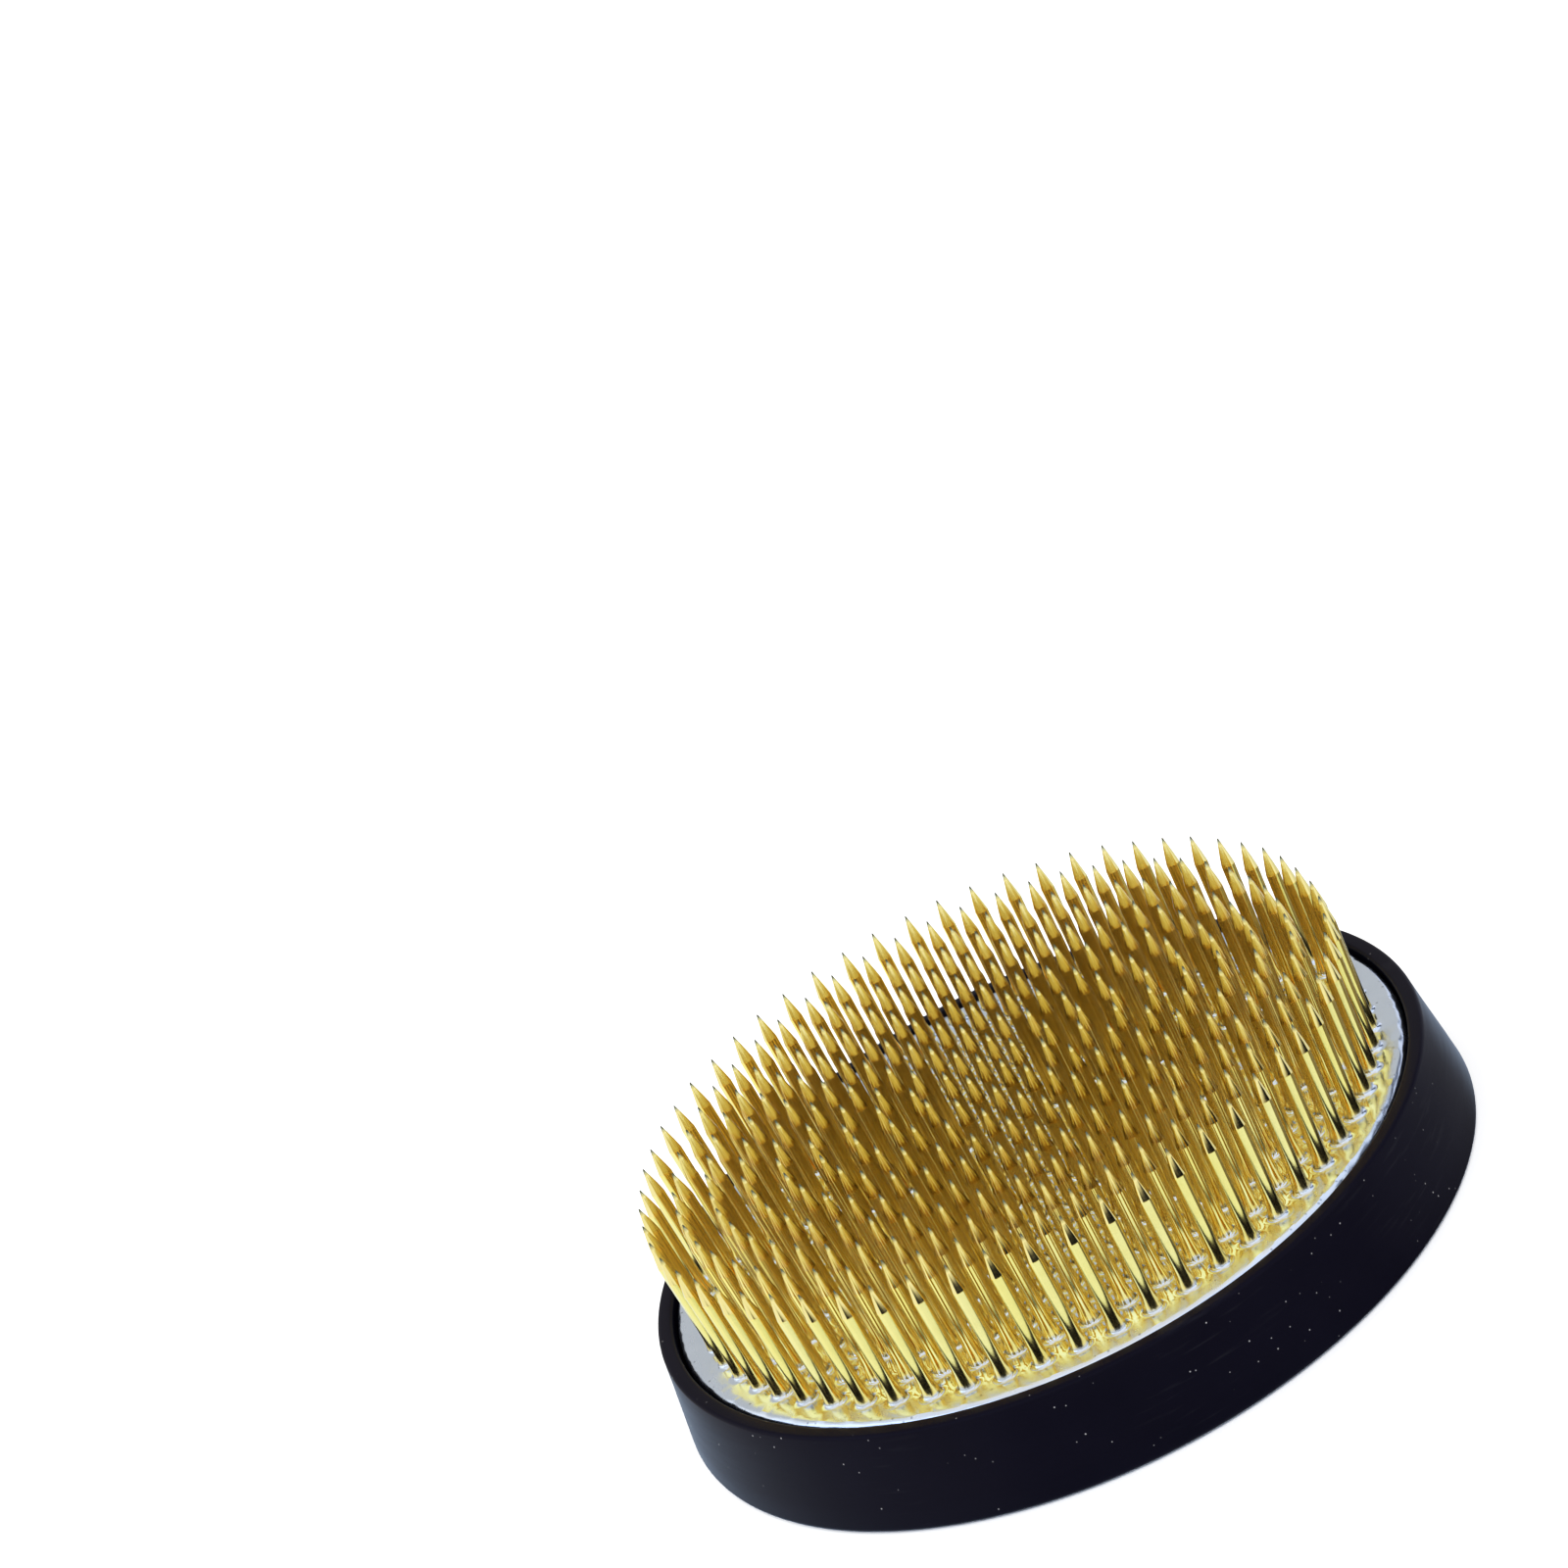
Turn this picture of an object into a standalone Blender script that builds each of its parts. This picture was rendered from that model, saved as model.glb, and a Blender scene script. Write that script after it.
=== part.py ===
"""Flower frog (kenzan): brass pins cast upright into a round lead-alloy base, inside a rubber ring.

Units are metres, +Z is up, and the origin is the centre of the face that the ring stands on.
The pins stand in concentric rings around one centre pin: ring number n holds 6 n pins.
"""

import math

import bmesh
import bpy

# Rubber ring: an L section, a tall wall round the base and a lip under it
RIM_RADIUS = 0.0420
FOOT_RADIUS = 0.0434
RING_HEIGHT = 0.0106
RING_BORE_RADIUS = 0.0403
RIM_ROUNDING = 0.0004
FOOT_ROUNDING = 0.0005
BORE_CHAMFER = 0.0005
LIP_THICKNESS = 0.0012
LIP_REACH = 0.0063

# Lead-alloy base
BASE_RADIUS = 0.0400
BASE_TOP = 0.0104
BASE_BEVEL = 0.0007
BASE_LOWER_CHAMFER = 0.0005
SEATING_GAP = 0.0003

# Brass pins
PIN_DIAMETER = 0.00145
PIN_TIP_HEIGHT = 0.0243
POINT_LENGTH = 0.0031
PIN_RINGS = 10
PINS_PER_RING_STEP = 6
RING_PITCH = 0.00365
LEAN_PER_RING = math.radians(0.33)
PIN_DEPTH = 0.0054

# The pins of the inner rings are separate solids. In the outer rings, a foot rail that is
# buried in the base joins the pins of each third of a ring.
SINGLE_PIN_RINGS = 3
ARCS_PER_RING = 3
RAIL_WIDTH = 0.0020
RAIL_THICKNESS = 0.0008
RAIL_OVERHANG = 0.0011
RAIL_CHORD_ERROR = 0.00025

# Clearances cut into the base
SOCKET_GAP = 0.00015
RAIL_GAP = 0.0002
CUTTER_OVERSHOOT = 0.001

TURNED_SEGMENTS = 72
SHARP_ANGLE = math.radians(35)
WELD_DISTANCE = 1e-7

PIN_HALF_WIDTH = PIN_DIAMETER * math.sqrt(math.pi) / 4  # square section, as much metal as the wire
PIN_FOOT = BASE_TOP - PIN_DEPTH
SHOULDER_HEIGHT = PIN_TIP_HEIGHT - POINT_LENGTH


def clear_scene():
    for obj in list(bpy.data.objects):
        bpy.data.objects.remove(obj, do_unlink=True)


def make_material(name, colour, roughness, metallic):
    material = bpy.data.materials.new(name)
    material.use_nodes = True
    shader = material.node_tree.nodes["Principled BSDF"]
    shader.inputs["Base Color"].default_value = (*colour, 1.0)
    shader.inputs["Roughness"].default_value = roughness
    shader.inputs["Metallic"].default_value = metallic
    return material


def mesh_from(bm, name):
    bmesh.ops.recalc_face_normals(bm, faces=bm.faces)
    mesh = bpy.data.meshes.new(name)
    bm.to_mesh(mesh)
    bm.free()
    return mesh


def add_object(name, mesh, material=None, parent=None, turn=0.0):
    obj = bpy.data.objects.new(name, mesh)
    bpy.context.scene.collection.objects.link(obj)
    obj.parent = parent
    obj.rotation_euler.z = turn
    if material and not mesh.materials:
        mesh.materials.append(material)
    return obj


def boolean(mesh, tool_mesh, operation):
    """The mesh joined with, or cut by, the tool mesh."""
    target = add_object("boolean_target", mesh)
    tool = add_object("boolean_tool", tool_mesh)
    modifier = target.modifiers.new("boolean", "BOOLEAN")
    modifier.object = tool
    modifier.operation = operation
    modifier.solver = "EXACT"
    graph = bpy.context.evaluated_depsgraph_get()
    result = bpy.data.meshes.new_from_object(target.evaluated_get(graph))
    for helper in (target, tool):
        bpy.data.objects.remove(helper, do_unlink=True)
    for used in (mesh, tool_mesh):
        bpy.data.meshes.remove(used)
    return result


def shade_round(mesh):
    mesh.shade_smooth()
    mesh.set_sharp_from_angle(angle=SHARP_ANGLE)


def arc(centre_r, centre_z, radius, start, end, steps=3):
    """Points (r, z) of a quarter or smaller arc, with angles in degrees from +r towards +z."""
    turns = [math.radians(start + (end - start) * i / steps) for i in range(steps + 1)]
    return [(centre_r + radius * math.cos(t), centre_z + radius * math.sin(t)) for t in turns]


def turned(profile, closed):
    """A solid of revolution from (r, z) points; a closed profile goes round without the axis."""
    bm = bmesh.new()
    verts = [bm.verts.new((r, 0.0, z)) for r, z in profile]
    pairs = list(zip(verts, verts[1:]))
    if closed:
        pairs.append((verts[-1], verts[0]))
    edges = [bm.edges.new(pair) for pair in pairs]
    bmesh.ops.spin(
        bm,
        geom=verts + edges,
        cent=(0, 0, 0),
        axis=(0, 0, 1),
        angle=math.tau,
        steps=TURNED_SEGMENTS,
        use_merge=True,
    )
    bmesh.ops.remove_doubles(bm, verts=bm.verts, dist=WELD_DISTANCE)
    return bm


def rubber_ring_mesh():
    top = RING_HEIGHT
    profile = [(RING_BORE_RADIUS - LIP_REACH, 0.0)]
    profile += arc(FOOT_RADIUS - FOOT_ROUNDING, FOOT_ROUNDING, FOOT_ROUNDING, -90, 0)
    profile += arc(RIM_RADIUS - RIM_ROUNDING, top - RIM_ROUNDING, RIM_ROUNDING, 0, 90)
    profile += [
        (RING_BORE_RADIUS + BORE_CHAMFER, top),
        (RING_BORE_RADIUS, top - BORE_CHAMFER),
        (RING_BORE_RADIUS, LIP_THICKNESS),
        (RING_BORE_RADIUS - LIP_REACH, LIP_THICKNESS),
    ]
    mesh = mesh_from(turned(profile, closed=True), "rubber_ring")
    shade_round(mesh)
    return mesh


def ring_radius(ring, height):
    """Distance of a ring's pins from the axis at this height, which grows as the pins lean out."""
    return ring * RING_PITCH + (height - BASE_TOP) * math.tan(ring * LEAN_PER_RING)


def add_pin(bm, ring, angle, half_width, low, high, point_height=None):
    """A square pin from low to high, ending flat or in a four-sided point."""

    def place(radial, across, height):
        radius = ring_radius(ring, height) + radial
        x = radius * math.cos(angle) - across * math.sin(angle)
        y = radius * math.sin(angle) + across * math.cos(angle)
        return bm.verts.new((x, y, height))

    corners = [(1, 1), (-1, 1), (-1, -1), (1, -1)]
    lower = [place(a * half_width, b * half_width, low) for a, b in corners]
    upper = [place(a * half_width, b * half_width, high) for a, b in corners]
    bm.faces.new(lower[::-1])
    tip = place(0, 0, point_height) if point_height else None
    if not tip:
        bm.faces.new(upper)
    for i in range(4):
        following = (i + 1) % 4
        bm.faces.new((lower[i], lower[following], upper[following], upper[i]))
        if tip:
            bm.faces.new((upper[i], upper[following], tip))


def add_rail(bm, ring, start, end, half_width, low, high):
    """A flat bar bent along part of a ring, from the start angle to the end angle."""
    radius = ring_radius(ring, PIN_FOOT)
    widest_step = 2 * math.acos(1 - RAIL_CHORD_ERROR / radius)
    steps = math.ceil((end - start) / widest_step)
    sections = []
    for i in range(steps + 1):
        angle = start + (end - start) * i / steps
        corners = [
            (radius + half_width, low),
            (radius + half_width, high),
            (radius - half_width, high),
            (radius - half_width, low),
        ]
        sections.append(
            [bm.verts.new((r * math.cos(angle), r * math.sin(angle), z)) for r, z in corners]
        )
    bm.faces.new(sections[0])
    bm.faces.new(sections[-1][::-1])
    for near, far in zip(sections, sections[1:]):
        for i in range(4):
            following = (i + 1) % 4
            bm.faces.new((near[i], near[following], far[following], far[i]))


def pin_angles(ring):
    count = PINS_PER_RING_STEP * ring
    return [math.tau * i / count for i in range(count)]


def arc_angles(ring):
    """The pin angles of the first third of a ring."""
    return pin_angles(ring)[: PINS_PER_RING_STEP * ring // ARCS_PER_RING]


def rail_ends(ring, extra=0.0):
    """Start and end angles of the rail under the first third of a ring."""
    overhang = (RAIL_OVERHANG + extra) / ring_radius(ring, PIN_FOOT)
    return -overhang, arc_angles(ring)[-1] + overhang


def single_pin_mesh(ring):
    bm = bmesh.new()
    add_pin(bm, ring, 0.0, PIN_HALF_WIDTH, PIN_FOOT, SHOULDER_HEIGHT, PIN_TIP_HEIGHT)
    return mesh_from(bm, f"pin_of_ring_{ring:02d}")


def pin_arc_mesh(ring):
    pins = bmesh.new()
    start_height = PIN_FOOT - RAIL_THICKNESS / 2
    for angle in arc_angles(ring):
        add_pin(pins, ring, angle, PIN_HALF_WIDTH, start_height, SHOULDER_HEIGHT, PIN_TIP_HEIGHT)
    rail = bmesh.new()
    add_rail(rail, ring, *rail_ends(ring), RAIL_WIDTH / 2, PIN_FOOT - RAIL_THICKNESS, PIN_FOOT)
    return boolean(mesh_from(rail, f"pin_arc_{ring:02d}"), mesh_from(pins, "pins"), "UNION")


def socket_cutter_mesh():
    """Every pin, grown by the socket gap."""
    bm = bmesh.new()
    half_width = PIN_HALF_WIDTH + SOCKET_GAP
    top = BASE_TOP + CUTTER_OVERSHOOT
    add_pin(bm, 0, 0.0, half_width, PIN_FOOT - SOCKET_GAP, top)
    for ring in range(1, PIN_RINGS + 1):
        joined = ring > SINGLE_PIN_RINGS
        bottom = PIN_FOOT - RAIL_THICKNESS / 2 if joined else PIN_FOOT - SOCKET_GAP
        for angle in pin_angles(ring):
            add_pin(bm, ring, angle, half_width, bottom, top)
    return mesh_from(bm, "socket_cutter")


def channel_cutter_mesh():
    """Every foot rail, grown by the rail gap."""
    bm = bmesh.new()
    for ring in range(SINGLE_PIN_RINGS + 1, PIN_RINGS + 1):
        start, end = rail_ends(ring, RAIL_GAP)
        for part in range(ARCS_PER_RING):
            turn = math.tau * part / ARCS_PER_RING
            add_rail(
                bm,
                ring,
                start + turn,
                end + turn,
                RAIL_WIDTH / 2 + RAIL_GAP,
                PIN_FOOT - RAIL_THICKNESS - RAIL_GAP,
                PIN_FOOT + RAIL_GAP,
            )
    return mesh_from(bm, "channel_cutter")


def base_mesh():
    bottom = LIP_THICKNESS + SEATING_GAP
    profile = [(0.0, bottom), (BASE_RADIUS - BASE_LOWER_CHAMFER, bottom)]
    profile += [(BASE_RADIUS, bottom + BASE_LOWER_CHAMFER)]
    profile += arc(BASE_RADIUS - BASE_BEVEL, BASE_TOP - BASE_BEVEL, BASE_BEVEL, 0, 90)
    profile += [(0.0, BASE_TOP)]
    disc = mesh_from(turned(profile, closed=False), "lead_base")
    with_channels = boolean(disc, channel_cutter_mesh(), "DIFFERENCE")
    base = boolean(with_channels, socket_cutter_mesh(), "DIFFERENCE")
    shade_round(base)
    return base


def build():
    clear_scene()
    brass = make_material("brass", (0.80, 0.60, 0.20), 0.20, 1.0)
    lead = make_material("lead_alloy", (0.60, 0.61, 0.63), 0.35, 1.0)
    rubber = make_material("black_rubber", (0.012, 0.013, 0.020), 0.50, 0.0)
    frog = add_object("flower_frog", None)

    add_object("rubber_ring", rubber_ring_mesh(), rubber, frog)
    add_object("lead_base", base_mesh(), lead, frog)
    add_object("pin_centre", single_pin_mesh(0), brass, frog)
    for ring in range(1, SINGLE_PIN_RINGS + 1):
        mesh = single_pin_mesh(ring)
        for number, angle in enumerate(pin_angles(ring), start=1):
            add_object(f"pin_ring{ring:02d}_{number:02d}", mesh, brass, frog, angle)
    for ring in range(SINGLE_PIN_RINGS + 1, PIN_RINGS + 1):
        mesh = pin_arc_mesh(ring)
        for part in range(ARCS_PER_RING):
            turn = math.tau * part / ARCS_PER_RING
            add_object(f"pin_ring{ring:02d}_arc{part + 1}", mesh, brass, frog, turn)


build()
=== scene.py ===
"""The finished look of a flower frog: brass wire pins, a cast base to hold them, a rubber ring."""

import math
import random

import bmesh
import bpy
from mathutils import Matrix, Vector, geometry, noise


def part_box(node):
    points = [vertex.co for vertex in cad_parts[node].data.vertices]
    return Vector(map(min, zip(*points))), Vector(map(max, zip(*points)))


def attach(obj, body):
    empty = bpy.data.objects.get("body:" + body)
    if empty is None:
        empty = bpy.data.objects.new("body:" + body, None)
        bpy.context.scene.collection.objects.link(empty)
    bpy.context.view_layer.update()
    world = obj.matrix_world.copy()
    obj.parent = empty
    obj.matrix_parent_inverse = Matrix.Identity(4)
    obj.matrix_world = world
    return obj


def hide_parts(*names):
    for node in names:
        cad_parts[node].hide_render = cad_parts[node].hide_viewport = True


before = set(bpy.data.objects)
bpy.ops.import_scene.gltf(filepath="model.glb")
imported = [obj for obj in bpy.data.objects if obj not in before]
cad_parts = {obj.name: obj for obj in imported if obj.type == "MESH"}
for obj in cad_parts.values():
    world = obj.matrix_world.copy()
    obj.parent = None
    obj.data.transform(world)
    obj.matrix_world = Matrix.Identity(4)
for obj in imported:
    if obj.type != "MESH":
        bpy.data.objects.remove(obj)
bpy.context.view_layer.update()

MM = 0.001
MICRON = 1e-6

# What the frame says.
_, RING_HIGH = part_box("rubber_ring")
BASE_LOW, BASE_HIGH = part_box("lead_base")
_, PIN_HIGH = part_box("pin_centre")
FOOT_RADIUS = RING_HIGH.x
RING_HEIGHT = RING_HIGH.z
BASE_RADIUS = BASE_HIGH.x
BASE_BOTTOM = BASE_LOW.z
BASE_TOP = BASE_HIGH.z
TIP_HEIGHT = PIN_HIGH.z

# The rubber ring.
RIM_RADIUS = 42.0 * MM
BORE_RADIUS = 40.3 * MM
LIP_RADIUS = 34.0 * MM
LIP_THICKNESS = 1.2 * MM
RIM_ROUNDING = 0.45 * MM
FOOT_ROUNDING = 0.5 * MM
BORE_ROUNDING = 0.35 * MM
ROUNDING_STEPS = 6
BORE_ROUNDING_STEPS = 4
RING_STEPS = 240
RING_SHARP_ANGLE = math.radians(50)
RING_UNEVENNESS = 0.05 * MM
RING_WAVES = 2.2
RING_EVEN_FOOT = 2 * MM

# The cast base.
BASE_BEVEL = 0.7 * MM
FLAT_RADIUS = BASE_RADIUS - BASE_BEVEL
BASE_LOWER_CHAMFER = 0.5 * MM
BASE_STEPS = 480
BASE_SHARP_ANGLE = math.radians(28)
# Down the bevel: the way in from the wall, the way down from the top, both as shares of the
# bevel, and the share of the dents' depth.
BEVEL_SECTION = [(0.62, 0.14, 1.0), (0.30, 0.40, 1.0), (0.08, 0.80, 0.6), (0.0, 1.3, 0.0)]
DENT_DEPTH = 0.14 * MM
DENT_SIZE = 1.3 * MM
FINE_DENTS = 0.25
DENT_LEVEL = 0.25  # Only what lies below this is a dent.

# The top of the base, between the pins.
PLATE_GRID = 0.9 * MM
PLATE_GRID_SHAKE = 0.2
PLATE_EDGE_CLEARANCE = 0.45 * MM
PLATE_COLLAR_CLEARANCE = 0.25 * MM
PLATE_WAVE = 0.035 * MM
PLATE_WAVE_LENGTH = 3.2 * MM
PLATE_SAG = 0.4
PLATE_CALM_EDGE = 3 * MM
MERGE_DISTANCE_IN_MM = 1e-5
PIN_FIELD_EDGE = (36.4 * MM, 38.4 * MM)

# The solder round the foot of each pin: a collar on the plate, and a fillet that crept up the wire.
COLLAR_STEPS = 20
COLLAR_ROWS = 6
COLLAR_REACH = (0.48 * MM, 0.66 * MM)
COLLAR_HEIGHT = (0.38 * MM, 0.60 * MM)
COLLAR_TUCK = 0.05 * MM
COLLAR_OVAL = 0.04
FILLET_MIDDLE = 1.3 * MM
FILLET_FADE = 0.6 * MM
FILLET_SLOPE = (0.225, 0.255)
FILLET_ROWS = [above * MM for above in (0.15, 0.5, 0.9, 1.3, 1.7, 2.2, 2.8, 3.6)]

# The pins.
PIN_RADIUS = 0.725 * MM
PIN_STEPS = 20
PIN_FOOT = BASE_TOP - 1.0 * MM
POINT_LENGTH = 3.1 * MM
POINT_TIP_RADIUS = 0.06 * MM
POINT_SHARES = (0.35, 0.7, 0.99)
POINT_FULLNESS = 1.12
PIN_RINGS = 10
PINS_PER_STEP = 6
RING_PITCH = 3.65 * MM
LEAN_PER_RING = math.radians(0.33)
LEAN_SCATTER = math.radians(0.3)
TIP_SCATTER = 0.18 * MM
SINGLE_PIN_RINGS = 3
ARCS_PER_RING = 3

RANDOM = random.Random(331)


def main():
    brass = brass_material()
    alloy = alloy_material()
    rubber = rubber_material()
    pins = {node: [Pin(*place) for place in places] for node, places in pin_places()}
    for node, group in pins.items():
        add_piece("brass_" + node, pins_mesh(group), brass, node)
    everything = [pin for group in pins.values() for pin in group]
    add_piece("cast_base", base_mesh(everything), alloy, "lead_base")
    add_piece("moulded_ring", ring_mesh(), rubber, "rubber_ring")
    add_room()
    set_contrast()
    add_floor()
    for name, position in SOFTBOXES.items():
        add_softbox(name, position)
    add_camera()


# Pieces


def add_piece(name, mesh, material, node):
    mesh.materials.append(material)
    piece = bpy.data.objects.new(name, mesh)
    bpy.context.scene.collection.objects.link(piece)
    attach(piece, "root")
    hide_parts(node)


def finished_mesh(name, built, sharp_angle=None):
    bmesh.ops.recalc_face_normals(built, faces=built.faces)
    mesh = bpy.data.meshes.new(name)
    built.to_mesh(mesh)
    built.free()
    mesh.shade_smooth()
    if sharp_angle is not None:
        mesh.set_sharp_from_angle(angle=sharp_angle)
    return mesh


def level(angle):
    """The level unit vector at that angle from +X."""
    return Vector((math.cos(angle), math.sin(angle), 0))


def turn_angles(steps):
    return [math.tau * step / steps for step in range(steps)]


def neighbours(loop):
    return list(zip(loop, loop[1:] + loop[:1]))


def bridge(built, lower, upper):
    for (a, b), (c, d) in zip(neighbours(lower), neighbours(upper)):
        built.faces.new((a, b, d, c))


# Pins


def pin_places():
    """For each node of pins: its name, and the ring and the angle of each of its pins."""
    yield "pin_centre", [(0, 0.0)]
    for ring in range(1, PIN_RINGS + 1):
        count = PINS_PER_STEP * ring
        places = [(ring, angle) for angle in turn_angles(count)]
        if ring <= SINGLE_PIN_RINGS:
            for index, place in enumerate(places):
                yield f"pin_ring{ring:02d}_{index + 1:02d}", [place]
            continue
        per_arc = count // ARCS_PER_RING
        for arc in range(ARCS_PER_RING):
            yield f"pin_ring{ring:02d}_arc{arc + 1}", places[arc * per_arc:(arc + 1) * per_arc]


class Pin:
    """One wire: its axis, how high it stands, its tone, and the solder round its foot."""

    def __init__(self, ring, angle):
        outward = level(angle)
        self.base = outward * ring * RING_PITCH + Vector((0, 0, BASE_TOP))
        scatter = Vector((RANDOM.gauss(0, 1), RANDOM.gauss(0, 1), 0)) * math.tan(LEAN_SCATTER)
        slope = outward * math.tan(ring * LEAN_PER_RING) + scatter
        self.slope = slope + Vector((0, 0, 1))
        self.top = TIP_HEIGHT - RANDOM.random() * TIP_SCATTER
        self.tone = RANDOM.random()
        self.turn = RANDOM.random() * math.tau
        self.fillet = RANDOM.uniform(*FILLET_SLOPE)
        self.collar_radius = self.radius(0) + RANDOM.uniform(*COLLAR_REACH)
        self.collar_height = RANDOM.uniform(*COLLAR_HEIGHT)

    def at(self, height):
        """The point of the axis at that height."""
        return self.base + self.slope * (height - BASE_TOP)

    def radius(self, above):
        """The wire's radius that far above the plate, with the solder that crept up it."""
        flare = math.log1p(math.exp((FILLET_MIDDLE - above) / FILLET_FADE))
        return PIN_RADIUS + self.fillet * FILLET_FADE * flare


def pin_rows(pin):
    """(height, radius) up the wire, and which of its rows is the shoulder of the point."""
    shoulder = pin.top - POINT_LENGTH
    rows = [(PIN_FOOT, pin.radius(FILLET_ROWS[0]))]
    rows += [(BASE_TOP + above, pin.radius(above)) for above in FILLET_ROWS]
    rows += [((rows[-1][0] + shoulder) / 2, PIN_RADIUS), (shoulder, PIN_RADIUS)]
    shoulder_row = len(rows) - 1
    for share in POINT_SHARES:
        fullness = 1 - share ** POINT_FULLNESS
        radius = POINT_TIP_RADIUS + (PIN_RADIUS - POINT_TIP_RADIUS) * fullness
        rows.append((shoulder + POINT_LENGTH * share, radius))
    return rows, shoulder_row


def pins_mesh(pins):
    built = bmesh.new()
    tone = built.verts.layers.float.new("pin_tone")
    climb = built.verts.layers.float.new("pin_climb")
    for pin in pins:
        rows, shoulder = pin_rows(pin)
        loops = []
        for height, radius in rows:
            centre = pin.at(height)
            angles = [pin.turn + math.tau * step / PIN_STEPS for step in range(PIN_STEPS)]
            loops.append([built.verts.new(centre + level(angle) * radius) for angle in angles])
        foot = built.verts.new(pin.at(PIN_FOOT))
        tip = built.verts.new(pin.at(pin.top))
        for lower, upper in zip(loops, loops[1:]):
            bridge(built, lower, upper)
        for here, there in neighbours(loops[0]):
            built.faces.new((foot, there, here))
        for here, there in neighbours(loops[-1]):
            built.faces.new((here, there, tip))
        for here, there in neighbours(loops[shoulder]):
            built.edges.get((here, there)).smooth = False
        for vertex in (foot, tip, *(v for loop in loops for v in loop)):
            vertex[tone] = pin.tone
            vertex[climb] = 1 - (pin.top - vertex.co.z) / POINT_LENGTH
    return finished_mesh("pins", built)


# Cast base


def plate_height(x, y):
    """The height of the casting's skin, which sagged a little between the pins as it set."""
    calm = min(max((FLAT_RADIUS - math.hypot(x, y)) / PLATE_CALM_EDGE, 0), 1)
    place = Vector((x, y, 0)) / PLATE_WAVE_LENGTH
    return BASE_TOP + PLATE_WAVE * calm * (noise.noise(place) - PLATE_SAG)


def collar_loop(pin, share, row_radius):
    """One row of the collar's points, share being 0 on the plate and 1 at the collar's top."""
    height = BASE_TOP + pin.collar_height * share
    centre = pin.at(height)
    points = []
    for angle in turn_angles(COLLAR_STEPS):
        oval = 1 + COLLAR_OVAL * math.cos(2 * angle + pin.turn) * (1 - share)
        flat = centre + level(angle) * row_radius * oval
        floor = plate_height(flat.x, flat.y) - BASE_TOP
        points.append(flat + Vector((0, 0, floor * (1 - share))))
    return points


def plate_points(pins):
    """Loose points on a shaken triangular grid, clear of the collars and of the edge."""
    rows = int(FLAT_RADIUS / PLATE_GRID) + 1
    points = []
    for row in range(-rows, rows + 1):
        for column in range(-rows, rows + 1):
            across = column + 0.5 * (row % 2) + PLATE_GRID_SHAKE * RANDOM.uniform(-1, 1)
            along = row + PLATE_GRID_SHAKE * RANDOM.uniform(-1, 1)
            x = across * PLATE_GRID
            y = along * PLATE_GRID * math.sqrt(3) / 2
            if math.hypot(x, y) > FLAT_RADIUS - PLATE_EDGE_CLEARANCE:
                continue
            if not any(under_collar(pin, x, y) for pin in pins):
                points.append((x, y))
    return points


def under_collar(pin, x, y):
    reach = pin.collar_radius + PLATE_COLLAR_CLEARANCE
    return (x - pin.base.x) ** 2 + (y - pin.base.y) ** 2 <= reach ** 2


def base_mesh(pins):
    """One closed skin: the top with a collar round each pin, the bevel, wall and underside."""
    flat = [(FLAT_RADIUS * math.cos(a), FLAT_RADIUS * math.sin(a)) for a in turn_angles(BASE_STEPS)]
    fixed = neighbours(list(range(BASE_STEPS)))
    collars = []
    for pin in pins:
        collars.append(list(range(len(flat), len(flat) + COLLAR_STEPS)))
        flat += [(p.x, p.y) for p in collar_loop(pin, 0, pin.collar_radius)]
        fixed += neighbours(collars[-1])
    flat += plate_points(pins)
    in_mm = [Vector((x / MM, y / MM)) for x, y in flat]
    made = geometry.delaunay_2d_cdt(in_mm, fixed, [], 0, MERGE_DISTANCE_IN_MM)
    places, triangles, origins = made[0], made[2], made[3]
    built = bmesh.new()
    verts = []
    for place in places:
        x, y = place.x * MM, place.y * MM
        verts.append(built.verts.new((x, y, plate_height(x, y))))
    made_from = {origin: verts[i] for i, found in enumerate(origins) for origin in found}
    loops = [[made_from[index] for index in collar] for collar in collars]
    owner = {vertex: index for index, loop in enumerate(loops) for vertex in loop}
    for triangle in triangles:
        corners = [verts[i] for i in triangle]
        owners = {owner.get(vertex) for vertex in corners}
        if len(owners) > 1 or None in owners:
            built.faces.new(corners)
    for pin, loop in zip(pins, loops):
        add_collar(built, pin, loop)
    add_rim(built, [made_from[i] for i in range(BASE_STEPS)])
    return finished_mesh("cast_base", built, BASE_SHARP_ANGLE)


def add_collar(built, pin, loop):
    """The collar's hollow slope, from its loop on the plate up to the wire, and its hidden lid."""
    top_radius = pin.radius(pin.collar_height) - COLLAR_TUCK
    for row in range(1, COLLAR_ROWS + 1):
        turn = math.pi / 2 * row / COLLAR_ROWS
        radius = pin.collar_radius - (pin.collar_radius - top_radius) * math.sin(turn)
        upper = [built.verts.new(p) for p in collar_loop(pin, 1 - math.cos(turn), radius)]
        bridge(built, loop, upper)
        loop = upper
    built.faces.new(loop)


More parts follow.
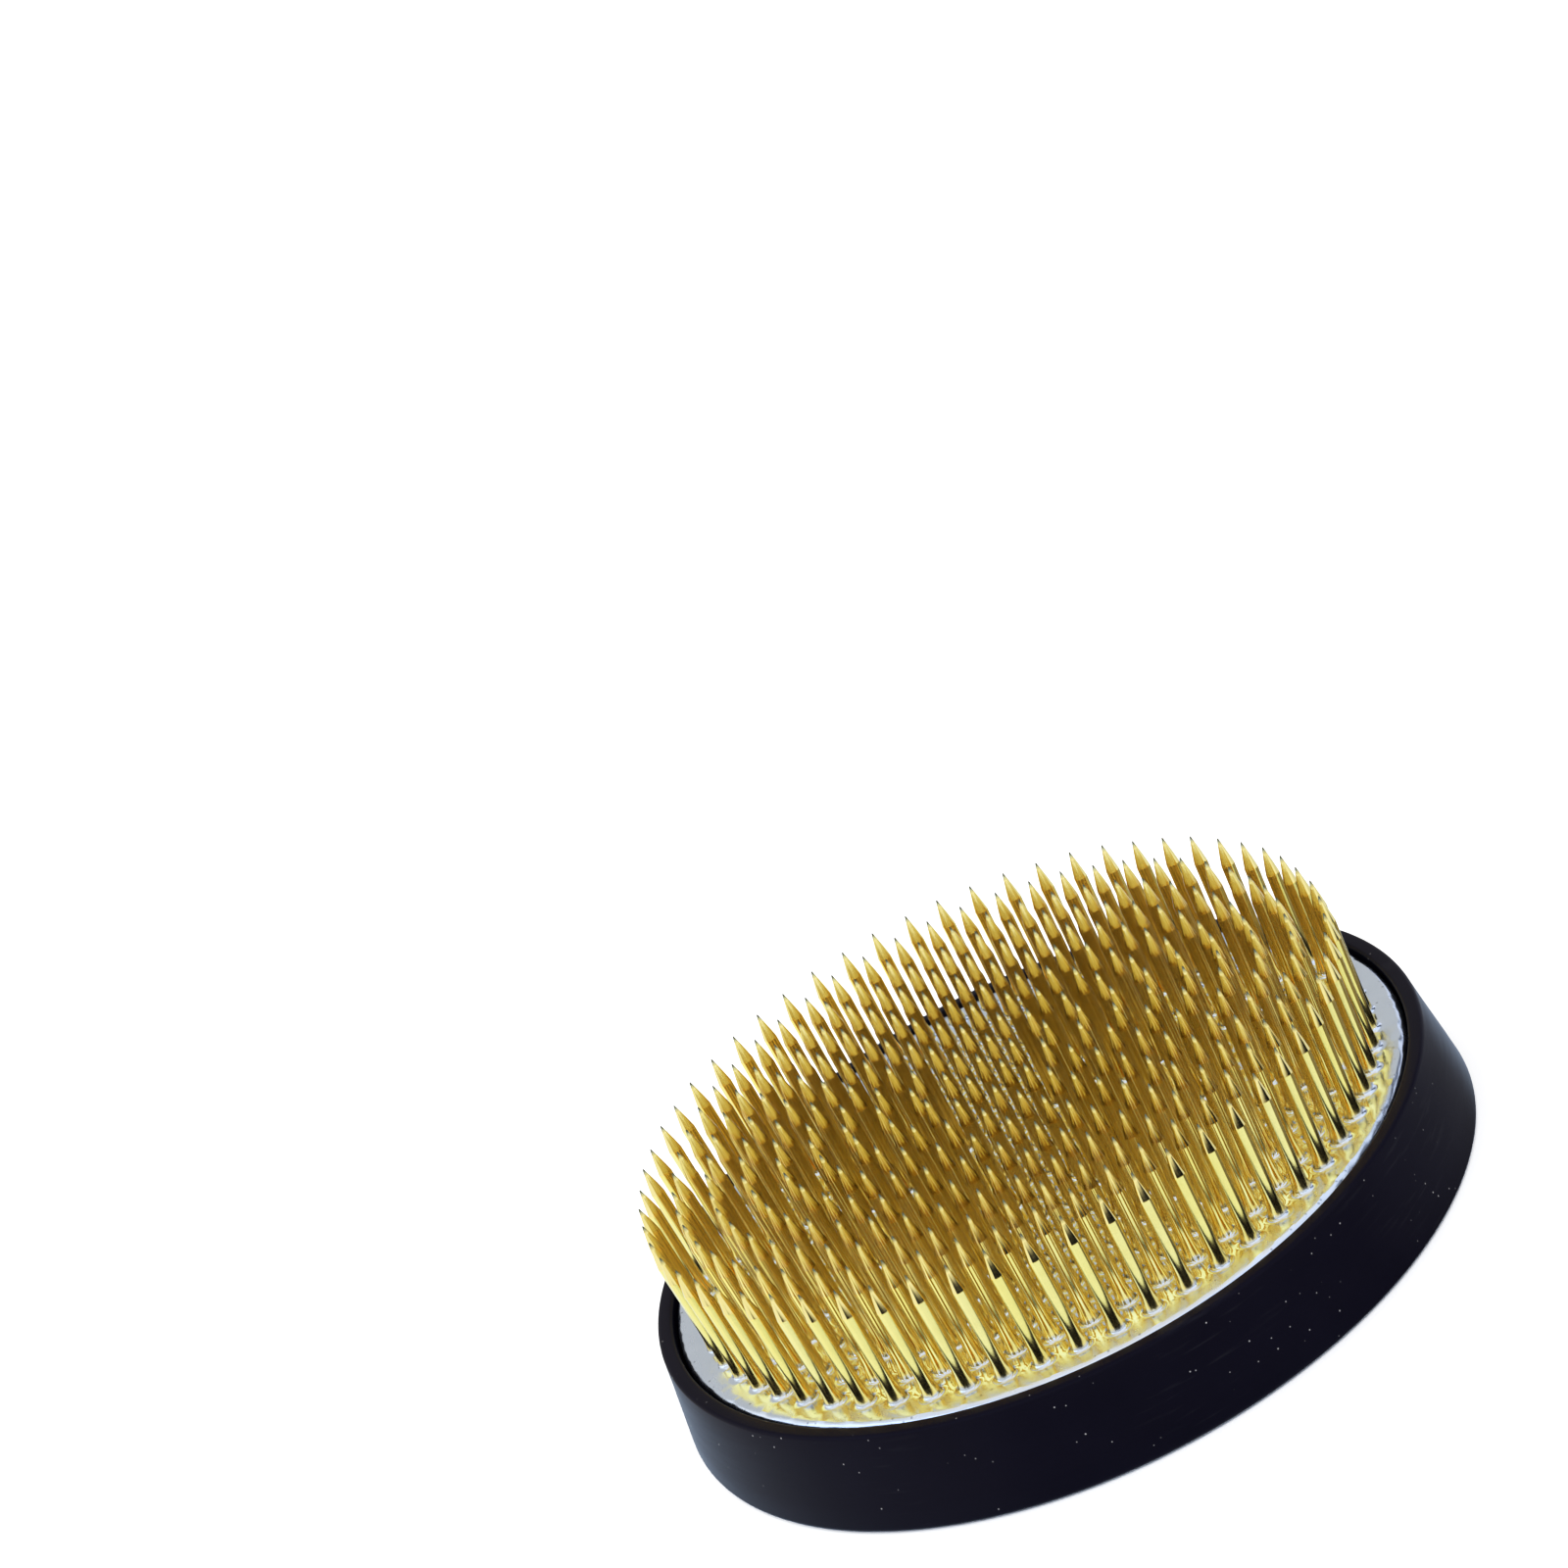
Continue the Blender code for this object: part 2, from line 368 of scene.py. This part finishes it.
def add_rim(built, loop):
    """The bevel with its dents, the wall and the underside, from the top's edge out and down."""
    outline = [(BASE_RADIUS - inwards * BASE_BEVEL, BASE_TOP - down * BASE_BEVEL, share)
               for inwards, down, share in BEVEL_SECTION]
    outline.append((BASE_RADIUS, BASE_BOTTOM + BASE_LOWER_CHAMFER, 0.0))
    outline.append((BASE_RADIUS - BASE_LOWER_CHAMFER, BASE_BOTTOM, 0.0))
    for radius, height, share in outline:
        lower = []
        for angle in turn_angles(BASE_STEPS):
            place = Vector((radius * math.cos(angle), radius * math.sin(angle), height))
            rough = noise.noise(place / DENT_SIZE) + FINE_DENTS * noise.noise(place * 4 / DENT_SIZE)
            dent = DENT_DEPTH * share * (min(rough, DENT_LEVEL) - DENT_LEVEL)
            lower.append(built.verts.new(place + place.normalized() * dent))
        bridge(built, lower, loop)
        loop = lower
    built.faces.new(loop)


# Rubber ring


def rounding(centre, radius, start, end, steps=ROUNDING_STEPS):
    """Points of an arc in the ring's section, angles in degrees, 0 outwards and 90 up."""
    angles = [math.radians(start + (end - start) * i / steps) for i in range(steps + 1)]
    return [(centre[0] + radius * math.cos(a), centre[1] + radius * math.sin(a)) for a in angles]


def between(a, b, share):
    return tuple(p + (q - p) * share for p, q in zip(a, b))


def ring_section():
    """The section's outline: up the wall from the foot, over the rim, down the bore to the lip."""
    lean = math.degrees(math.atan2(FOOT_RADIUS - RIM_RADIUS, RING_HEIGHT))
    foot = (FOOT_RADIUS - FOOT_ROUNDING, FOOT_ROUNDING)
    rim = (RIM_RADIUS - RIM_ROUNDING, RING_HEIGHT - RIM_ROUNDING)
    bore = (BORE_RADIUS + BORE_ROUNDING, RING_HEIGHT - BORE_ROUNDING)
    lip = (LIP_RADIUS + LIP_THICKNESS / 2, LIP_THICKNESS / 2)
    wall_low = rounding(foot, FOOT_ROUNDING, -90, lean)
    wall_high = rounding(rim, RIM_ROUNDING, lean, 90)
    wall = [between(wall_low[-1], wall_high[0], share) for share in (0.25, 0.5, 0.75)]
    top = [between(wall_high[-1], (bore[0], RING_HEIGHT), 0.5)]
    inner_edge = rounding(bore, BORE_ROUNDING, 90, 180, BORE_ROUNDING_STEPS)
    seat = [(BORE_RADIUS, LIP_THICKNESS)]
    lip_edge = rounding(lip, LIP_THICKNESS / 2, 90, 270)
    return wall_low + wall + wall_high + top + inner_edge + seat + lip_edge


def ring_mesh():
    """The section turned round the axis, a little uneven everywhere but at the foot."""
    built = bmesh.new()
    loops = []
    for radius, height in ring_section():
        loop = []
        for angle in turn_angles(RING_STEPS):
            place = Vector((math.cos(angle), math.sin(angle), height / RING_HEIGHT)) * RING_WAVES
            grown = min(height / RING_EVEN_FOOT, 1)
            uneven = RING_UNEVENNESS * (noise.noise(place) - 0.5) * grown
            reach = radius + min(uneven, 0) if height > 0 else radius
            loop.append(built.verts.new((reach * math.cos(angle), reach * math.sin(angle), height)))
        loops.append(loop)
    for lower, upper in neighbours(loops):
        bridge(built, lower, upper)
    return finished_mesh("moulded_ring", built, RING_SHARP_ANGLE)


# Materials


# Colours. Where there are two, the surface varies between them.
DRAWN_BRASS = ((0.93, 0.72, 0.21, 1), (0.95, 0.76, 0.28, 1))
TARNISHED_BRASS = (0.86, 0.63, 0.16, 1)
GROUND_BRASS = ((0.76, 0.65, 0.28, 1), (0.80, 0.69, 0.33, 1))
# A painted dark reflection for the last part of each point, not a colour the brass has.
PAINTED_DARK_TIP_REFLECTION = (0.09, 0.09, 0.06, 1)
SOLDER = (0.60, 0.59, 0.54, 1)
ALLOY = ((0.61, 0.68, 0.80, 1), (0.72, 0.80, 0.93, 1))
PIT = (0.20, 0.20, 0.21, 1)
RUBBER = ((0.0025, 0.002, 0.007, 1), (0.0045, 0.0038, 0.011, 1))
DUST = (0.34, 0.33, 0.32, 1)
RUBBED_RUBBER = (0.03, 0.03, 0.036, 1)
RUBBER_SHINE = (0.97, 0.94, 0.91, 1)
RUBBER_SPECULAR = 0.07


class Nodes:
    """A node tree, built by calling this."""

    def __init__(self, tree):
        self.tree = tree

    def add(self, kind, **settings):
        node = self.tree.nodes.new(kind)
        for name, value in settings.items():
            setattr(node, name, value)
        return node

    def join(self, source, target):
        if hasattr(source, "is_output"):
            self.tree.links.new(source, target)
        else:
            target.default_value = source

    def vector_maths(self, operation, *values):
        node = self.add("ShaderNodeVectorMath", operation=operation)
        for value, socket in zip(values, node.inputs):
            self.join(value, socket)
        return node.outputs["Value" if operation in ("LENGTH", "DOT_PRODUCT") else "Vector"]

    def maths(self, operation, a, b):
        node = self.add("ShaderNodeMath", operation=operation)
        self.join(a, node.inputs[0])
        self.join(b, node.inputs[1])
        return node.outputs[0]

    def height(self, place):
        node = self.add("ShaderNodeSeparateXYZ")
        self.join(place, node.inputs[0])
        return node.outputs["Z"]

    def ramp(self, value, low, high, to_low=0.0, to_high=1.0):
        """value carried from low..high to to_low..to_high, held at the ends."""
        node = self.add("ShaderNodeMapRange")
        for given, socket in zip((value, low, high, to_low, to_high), node.inputs):
            self.join(given, socket)
        return node.outputs[0]

    def mix(self, share, a, b):
        node = self.add("ShaderNodeMix", data_type="RGBA")
        self.join(share, node.inputs["Factor"])
        self.join(a, node.inputs[6])
        self.join(b, node.inputs[7])
        return node.outputs[2]


class Surface(Nodes):
    """A material's nodes, with patterns that lie in the piece's own coordinates."""

    def __init__(self, name):
        self.material = bpy.data.materials.new(name)
        self.material.use_nodes = True
        super().__init__(self.material.node_tree)
        self.shader = self.tree.nodes["Principled BSDF"]
        self.place = self.add("ShaderNodeTexCoord").outputs["Object"]

    def noise(self, scale, detail=3.0, roughness=0.5):
        """Noise of about 0 to 1, with scale features to the metre, or (x, y, z) of them."""
        scale = (scale,) * 3 if isinstance(scale, (int, float)) else scale
        node = self.add("ShaderNodeTexNoise")
        self.join(self.vector_maths("MULTIPLY", self.place, scale), node.inputs["Vector"])
        self.join(1.0, node.inputs["Scale"])
        self.join(detail, node.inputs["Detail"])
        self.join(roughness, node.inputs["Roughness"])
        return node.outputs[0]

    def specks(self, scale, size):
        """1 in small round spots about size of a cell across, 0 elsewhere."""
        node = self.add("ShaderNodeTexVoronoi")
        self.join(self.place, node.inputs["Vector"])
        self.join(float(scale), node.inputs["Scale"])
        return self.ramp(node.outputs["Distance"], size, size * 0.6)

    def bump(self, height, depth, under=None):
        node = self.add("ShaderNodeBump")
        self.join(1.0, node.inputs["Strength"])
        self.join(depth, node.inputs["Distance"])
        self.join(height, node.inputs["Height"])
        if under is not None:
            self.join(under, node.inputs["Normal"])
        return node.outputs[0]

    def radius(self):
        """The distance from the frog's axis."""
        return self.vector_maths("LENGTH", self.vector_maths("MULTIPLY", self.place, (1, 1, 0)))

    def attribute(self, name):
        return self.add("ShaderNodeAttribute", attribute_name=name).outputs["Fac"]

    def finish(self, colour, roughness, normal, metallic):
        self.join(colour, self.shader.inputs["Base Color"])
        self.join(roughness, self.shader.inputs["Roughness"])
        self.join(normal, self.shader.inputs["Normal"])
        self.shader.inputs["Metallic"].default_value = metallic
        return self.material


def brass_material():
    """Drawn brass wire ground to a point, a little tarnished, with a painted dark reflection at the
    tip, tinned at the foot.

    Its fine marks run round the wire, so its reflections are blurred along the wire only.
    """
    n = Surface("drawn_brass")
    tone = n.attribute("pin_tone")
    climb = n.attribute("pin_climb")
    turned = n.noise((300, 300, 9000), detail=2.0)
    cloudy = n.noise(500)
    ground = n.ramp(climb, 0.0, 0.03)
    drawn = n.mix(tone, *DRAWN_BRASS)
    drawn = n.mix(n.ramp(cloudy, 0.5, 0.75, to_high=0.3), drawn, TARNISHED_BRASS)
    fresh = n.mix(tone, *GROUND_BRASS)
    colour = n.mix(ground, drawn, fresh)
    # Painted dark reflection: the base colour goes dark towards the tip, standing in for the dark
    # the point mirrors.
    tip = n.ramp(climb, 0.74, 0.92)
    colour = n.mix(n.maths("MULTIPLY", tip, 0.9), colour, PAINTED_DARK_TIP_REFLECTION)
    ragged = n.ramp(n.noise(900), 0, 1, to_low=-0.5 * MM, to_high=0.5 * MM)
    foot = n.maths("ADD", n.height(n.place), ragged)
    tinned = n.ramp(foot, BASE_TOP + 0.3 * MM, BASE_TOP + 0.7 * MM, to_low=1.0, to_high=0.0)
    colour = n.mix(tinned, colour, SOLDER)
    clean = n.ramp(n.height(n.place), BASE_TOP + 2 * MM, BASE_TOP + 7 * MM,
                   to_low=0.08, to_high=0.15)
    smooth = n.ramp(ground, 0, 1, to_low=clean, to_high=0.05)
    roughness = n.maths("ADD", smooth, n.ramp(turned, 0.3, 0.7, to_low=-0.01, to_high=0.01))
    normal = n.bump(turned, depth=0.2 * MICRON)
    along = n.add("ShaderNodeCombineXYZ")
    along.inputs["Z"].default_value = 1.0
    n.join(along.outputs[0], n.shader.inputs["Tangent"])
    n.shader.inputs["Anisotropic"].default_value = 1.0
    return n.finish(colour, roughness, normal, metallic=1.0)


def alloy_material():
    """Cast lead alloy: bright where it set against the pins, dull and streaked at the edge."""
    n = Surface("cast_alloy")
    edge = n.ramp(n.radius(), *PIN_FIELD_EDGE)
    clouds = n.noise(260, detail=4.0)
    streaks = n.noise((900, 160, 900), detail=3.0)
    colour = n.mix(clouds, *ALLOY)
    pits = n.specks(900, size=0.16)
    colour = n.mix(n.maths("MULTIPLY", pits, 0.5), colour, PIT)
    bright = n.ramp(clouds, 0.3, 0.7, to_low=0.04, to_high=0.09)
    dull = n.ramp(streaks, 0.3, 0.7, to_low=0.17, to_high=0.30)
    roughness = n.maths("ADD", n.maths("MULTIPLY", edge, n.maths("SUBTRACT", dull, bright)), bright)
    ripples = n.bump(n.noise(500, detail=4.0, roughness=0.62), depth=24 * MICRON)
    normal = n.bump(streaks, depth=4 * MICRON, under=ripples)
    return n.finish(colour, roughness, normal, metallic=1.0)


def rubber_material():
    """Moulded navy-black rubber with a satin skin, some specks of dust and faint rub marks."""
    n = Surface("moulded_rubber")
    mottle = n.noise(140, detail=4.0)
    colour = n.mix(mottle, *RUBBER)
    dusty = n.ramp(n.noise(130), 0.46, 0.56, to_high=0.8)
    dust = n.maths("MULTIPLY", n.specks(800, size=0.085), dusty)
    colour = n.mix(dust, colour, DUST)
    rubbed = n.noise((160, 160, 2200), detail=3.0)
    marks = n.ramp(rubbed, 0.58, 0.72, to_high=0.3)
    rubs = n.maths("MULTIPLY", marks, n.ramp(n.noise(45), 0.50, 0.65))
    colour = n.mix(rubs, colour, RUBBED_RUBBER)
    roughness = n.ramp(rubbed, 0.35, 0.75, to_low=0.33, to_high=0.36)
    grain = n.bump(n.noise(5200, detail=2.0), depth=6 * MICRON)
    n.shader.inputs["Specular IOR Level"].default_value = RUBBER_SPECULAR
    n.shader.inputs["Specular Tint"].default_value = RUBBER_SHINE
    return n.finish(colour, roughness, grain, metallic=0.0)


# Stage


# The studio's light comes from all round and depends on the direction only. Each panel of it is
# (middle, half width, lowest, highest, light), in degrees to the right of the front, which is -Y,
# and in degrees above the horizon, with its light as (red, green, blue). A later panel covers an
# earlier one.
ROOM_LIGHT = (1.15, 1.15, 1.15)
FLOOR_LIGHT = (0.94, 1.14, 1.42)
PANELS = [
    # The floor, the ceiling, the shaded floor on the right, and the wall at the back.
    (0, 180, -90, -22, FLOOR_LIGHT),
    (0, 180, 66, 90, (0.95, 0.90, 0.83)),
    (105, 45, -90, -22, (0.22, 0.22, 0.22)),
    (180, 60, -20, 60, (0.62, 0.60, 0.56)),
    # The wall on the left, low and high, and a cool softbox over the front.
    (-80, 50, -22, 30, (1.15, 1.15, 1.15)),
    (-80, 50, 30, 65, (0.85, 0.85, 0.85)),
    (-30, 80, 24, 44, (1.40, 1.66, 2.15)),
    # A black card low in front, the wall on the right, black cards above it, and a softbox.
    (18, 60, -24, -10.5, (0.01, 0.01, 0.01)),
    (115, 40, -22, 25, (0.86, 0.89, 1.00)),
    (115, 30, 24, 40, (0.05, 0.05, 0.05)),
    (45, 65, 44, 50, (0.06, 0.06, 0.06)),
    (80, 60, 38, 62, (0.90, 0.96, 1.10)),
]
SOFT_EDGE = 1.5

# The light given and the light shown, on the curve that adds contrast.
CONTRAST = [(0.10, 0.075), (0.30, 0.29), (0.60, 0.65)]

FLOOR_SIZE = 6.0
FLOOR_DROP = 0.05 * MM
FLOOR_COLOUR = (0.95, 0.94, 0.92, 1)
FLOOR_ROUGHNESS = 0.9

SOFTBOXES = {"left_softbox": (-0.55, 0.15, 0.60), "right_softbox": (0.55, 0.25, 0.60)}
SOFTBOX_SIZE = 0.9
SOFTBOX_WATTS = 6.0


def set_contrast():
    """A slightly contrasty rendering."""
    settings = bpy.context.scene.view_settings
    settings.view_transform = "Standard"
    settings.use_curve_mapping = True
    for given, shown in CONTRAST:
        settings.curve_mapping.curves[3].points.new(given, shown)
    settings.curve_mapping.update()


def add_room():
    """The world: panels of light round the frog, and plain white where the camera sees it."""
    world = bpy.data.worlds.new("studio")
    bpy.context.scene.world = world
    world.use_nodes = True
    n = Nodes(world.node_tree)
    direction = n.add("ShaderNodeTexCoord").outputs["Generated"]
    height = n.height(direction)
    light = (*ROOM_LIGHT, 1)
    for middle, half_width, lowest, highest, panel_light in PANELS:
        above = n.ramp(height, *sines(lowest - SOFT_EDGE, lowest + SOFT_EDGE))
        below = n.ramp(height, *sines(highest + SOFT_EDGE, highest - SOFT_EDGE))
        cover = n.maths("MULTIPLY", above, below)
        if half_width < 180:
            cover = n.maths("MULTIPLY", cover, sector(n, direction, middle, half_width))
        light = n.mix(cover, light, (*panel_light, 1))
    seen = n.add("ShaderNodeLightPath").outputs["Is Camera Ray"]
    n.join(n.mix(seen, light, (1, 1, 1, 1)), n.tree.nodes["Background"].inputs["Color"])


def sines(*angles):
    return [math.sin(math.radians(min(max(angle, -90), 90))) for angle in angles]


def sector(n, direction, middle, half_width):
    """1 where the direction lies within half_width degrees of middle, to the right of -Y."""
    heading = n.vector_maths("NORMALIZE", n.vector_maths("MULTIPLY", direction, (1, 1, 0)))
    turn = math.radians(middle)
    towards = (math.sin(turn), -math.cos(turn), 0)
    edges = [math.cos(math.radians(half_width + soft)) for soft in (SOFT_EDGE, -SOFT_EDGE)]
    return n.ramp(n.vector_maths("DOT_PRODUCT", heading, towards), *edges)


def add_floor():
    """A plain pale card just under the frog. No mirror sees it."""
    built = bmesh.new()
    bmesh.ops.create_grid(built, x_segments=1, y_segments=1, size=FLOOR_SIZE / 2)
    mesh = bpy.data.meshes.new("floor")
    built.to_mesh(mesh)
    built.free()
    mesh.materials.append(floor_material())
    card = bpy.data.objects.new("floor", mesh)
    card.location.z = -FLOOR_DROP
    card.visible_glossy = False
    bpy.context.scene.collection.objects.link(card)


def floor_material():
    n = Surface("floor")
    n.shader.inputs["Base Color"].default_value = FLOOR_COLOUR
    n.shader.inputs["Roughness"].default_value = FLOOR_ROUGHNESS
    return n.material


def add_softbox(name, position):
    """A square softbox that faces the frog and lights the floor. No mirror or camera sees it."""
    lamp = bpy.data.lights.new(name, "AREA")
    lamp.size = SOFTBOX_SIZE
    lamp.energy = SOFTBOX_WATTS
    light = bpy.data.objects.new(name, lamp)
    light.location = position
    light.rotation_euler = (-Vector(position)).to_track_quat("-Z", "Y").to_euler()
    light.visible_camera = False
    light.visible_glossy = False
    bpy.context.scene.collection.objects.link(light)


# Camera


CAMERA_LENS = 100.85
CAMERA_DISTANCE = 448.6 * MM
CAMERA_ELEVATION = math.radians(29.13)
CAMERA_ROLL = math.radians(27.45)
CAMERA_NEAREST = 0.01
CAMERA_FARTHEST = 20
FROG_RIGHT_OF_CENTRE = 0.0661
FROG_BELOW_CENTRE = 0.1048


def add_camera():
    """The camera looks along +Y and down, rolled, with the frog low on its right."""
    data = bpy.data.cameras.new("camera")
    data.lens = CAMERA_LENS
    data.clip_start = CAMERA_NEAREST
    data.clip_end = CAMERA_FARTHEST
    camera = bpy.data.objects.new("camera", data)
    bpy.context.scene.collection.objects.link(camera)
    bpy.context.scene.camera = camera
    look = Matrix.Rotation(math.pi / 2 - CAMERA_ELEVATION, 3, "X")
    roll = Matrix.Rotation(CAMERA_ROLL, 3, "Z")
    towards_frog = Vector((FROG_RIGHT_OF_CENTRE, -FROG_BELOW_CENTRE, -1)).normalized()
    aside = Vector((0, 0, -1)).rotation_difference(towards_frog).to_matrix()
    turn = look @ (aside @ roll).inverted()
    position = turn @ towards_frog * -CAMERA_DISTANCE
    camera.matrix_world = Matrix.Translation(position) @ turn.to_4x4()


main()

bpy.context.view_layer.update()
